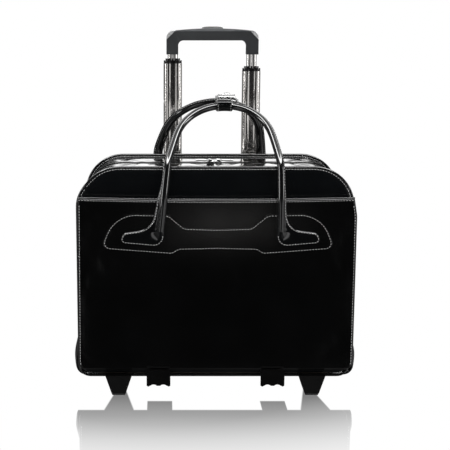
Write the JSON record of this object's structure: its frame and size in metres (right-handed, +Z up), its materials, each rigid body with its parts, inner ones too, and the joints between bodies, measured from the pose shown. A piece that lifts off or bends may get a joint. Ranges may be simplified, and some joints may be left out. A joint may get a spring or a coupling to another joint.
{
  "type": "rolling laptop case",
  "caption": "Soft-sided leather laptop case with rolled carry handles, a telescopic trolley with a release button, wheels and front feet.",
  "frame": {"origin": "on the ground, at the centre of the overall box", "axes": "+Z up, the front pocket faces -Y, +X to the right seen from the front; ground at z = 0"},
  "size_m": [0.414, 0.236, 0.5397],
  "materials": {
    "case_leather": "glossy black leather, smooth finish",
    "pocket_leather": "glossy black leather, smooth finish",
    "cord_leather": "high-gloss rolled black leather",
    "lining_fabric": "padded grey textile",
    "board": "rigid stiffener board",
    "zip_tape": "woven zip tape",
    "zip_metal": "polished plated zip metal",
    "zip_coil": "black nylon zip teeth",
    "black_plastic": "black moulded plastic, fine texture",
    "collar_plastic": "black moulded plastic, smooth",
    "tube_metal": "polished plated tube",
    "rubber": "black rubber",
    "tyre": "moulded wheel tyre",
    "steel": "plated steel",
    "grip_plastic": "charcoal moulded grip, fine texture",
    "grip_skin": "grey soft-touch upper skin",
    "cap_chrome": "polished chrome caps",
    "button_plastic": "dark release button",
    "clasp_metal": "satin silver clasp"
  },
  "bodies": {
    "root": {"front_wall": "case_leather", "back_wall": "case_leather", "side_gusset": "case_leather", "top_gusset_front": "case_leather", "top_gusset_rear": "case_leather", "zip_tapes": "zip_tape", "zip_teeth": "zip_coil", "front_pocket_panel": "pocket_leather", "pocket_gusset": "pocket_leather", "mouth_trim": "pocket_leather", "lobed_trim": "pocket_leather", "handle_tabs": "pocket_leather", "piping": "cord_leather", "base_board": "board", "laptop_divider": "lining_fabric", "rear_handle_legs": "cord_leather", "trolley_cover": "case_leather", "trolley_base": "black_plastic", "wheel_brackets": "black_plastic", "outer_tubes": "tube_metal", "outer_collars": "collar_plastic", "top_bracket": "black_plastic", "support_rails": "black_plastic", "front_clips": "black_plastic", "front_feet": "black_plastic", "foot_pads": "rubber", "frame_screws": "steel", "axle_bolts": "steel"},
    "zip_slider_left": {"zip_slider_left": "zip_metal"},
    "zip_slider_right": {"zip_slider_right": "zip_metal"},
    "zip_pull_left": {"zip_pull_left": "zip_metal"},
    "zip_pull_right": {"zip_pull_right": "zip_metal"},
    "front_handle_legs": {"front_handle_legs": "cord_leather"},
    "front_handle": {"front_handle_arch": "cord_leather", "keeper_band": "cord_leather"},
    "keeper_flap": {"keeper_flap": "cord_leather", "keeper_clasp": "clasp_metal"},
    "rear_handle": {"rear_handle_arch": "cord_leather", "rear_keeper_band": "cord_leather"},
    "mid_left": {"mid_tube_left": "tube_metal", "mid_guides_left": "collar_plastic"},
    "mid_right": {"mid_tube_right": "tube_metal", "mid_guides_right": "collar_plastic"},
    "grip": {"inner_tubes": "tube_metal", "inner_feet": "collar_plastic", "grip_body": "grip_plastic", "grip_skin": "grip_skin", "grip_corner_caps": "cap_chrome", "rod_springs": "steel"},
    "button": {"release_button": "button_plastic", "release_linkage": "steel"},
    "lock_left": {"lock_pin_left": "steel"},
    "lock_right": {"lock_pin_right": "steel"},
    "wheel_left": {"wheel_hub_left": "black_plastic", "wheel_tyre_left": "tyre", "wheel_bearings_left": "steel"},
    "wheel_right": {"wheel_hub_right": "black_plastic", "wheel_tyre_right": "tyre", "wheel_bearings_right": "steel"}
  },
  "joints": [
    {"name": "mid_left_slide", "type": "slide", "parent": "root", "child": "mid_left", "axis": [0, 0, 1], "range_m": [-0.13, 0.095]},
    {"name": "mid_right_slide", "type": "slide", "parent": "root", "child": "mid_right", "axis": [0, 0, 1], "range_m": [-0.13, 0.095]},
    {"name": "grip_slide", "type": "slide", "parent": "mid_left", "child": "grip", "axis": [0, 0, 1], "range_m": [-0.005, 0.2]},
    {"name": "button_press", "type": "slide", "parent": "grip", "child": "button", "axis": [0, 0, -1], "range_m": [0, 0.003], "deforming": ["rod_springs"]},
    {"name": "lock_left_retract", "type": "slide", "parent": "grip", "child": "lock_left", "axis": [1, 0, 0], "range_m": [0, 0.003]},
    {"name": "lock_right_retract", "type": "slide", "parent": "grip", "child": "lock_right", "axis": [-1, 0, 0], "range_m": [0, 0.003]},
    {"name": "front_handle_swing", "type": "hinge", "parent": "root", "child": "front_handle_legs", "pos_m": [0.005, -0.1125, 0.25], "axis": [1, 0, 0], "range_deg": [0, 150]},
    {"name": "front_handle_flex", "type": "hinge", "parent": "front_handle_legs", "child": "front_handle", "pos_m": [0.005, -0.099, 0.346], "axis": [1, 0, 0], "range_deg": [0, 45]},
    {"name": "keeper_flap_lift", "type": "hinge", "parent": "front_handle", "child": "keeper_flap", "pos_m": [0.013, -0.034, 0.4286], "axis": [1, 0, 0], "range_deg": [0, 130]},
    {"name": "rear_handle_swing", "type": "hinge", "parent": "root", "child": "rear_handle", "pos_m": [0, 0.0715, 0.346], "axis": [1, 0, 0], "range_deg": [-38, 38]},
    {"name": "zip_left_slide", "type": "slide", "parent": "root", "child": "zip_slider_left", "axis": [-1, 0, 0], "range_m": [0, 0.125]},
    {"name": "zip_right_slide", "type": "slide", "parent": "root", "child": "zip_slider_right", "axis": [1, 0, 0], "range_m": [0, 0.125]},
    {"name": "zip_pull_left_flip", "type": "hinge", "parent": "zip_slider_left", "child": "zip_pull_left", "pos_m": [-0.006, -0.013, 0.3393], "axis": [0, 1, 0], "range_deg": [0, 100]},
    {"name": "zip_pull_right_flip", "type": "hinge", "parent": "zip_slider_right", "child": "zip_pull_right", "pos_m": [0.006, -0.013, 0.3393], "axis": [0, -1, 0], "range_deg": [0, 100]},
    {"name": "wheel_left_spin", "type": "hinge", "parent": "root", "child": "wheel_left", "pos_m": [-0.165, 0.093, 0.025], "axis": [1, 0, 0], "continuous": true},
    {"name": "wheel_right_spin", "type": "hinge", "parent": "root", "child": "wheel_right", "pos_m": [0.165, 0.093, 0.025], "axis": [1, 0, 0], "continuous": true}
  ],
  "couplings": [
    {"joint": "mid_right_slide", "follows": "mid_left_slide", "ratio": 1},
    {"joint": "lock_left_retract", "follows": "button_press", "ratio": 1},
    {"joint": "lock_right_retract", "follows": "button_press", "ratio": 1},
    {"joint": "front_handle_flex", "follows": "front_handle_swing", "ratio": 0.3}
  ]
}
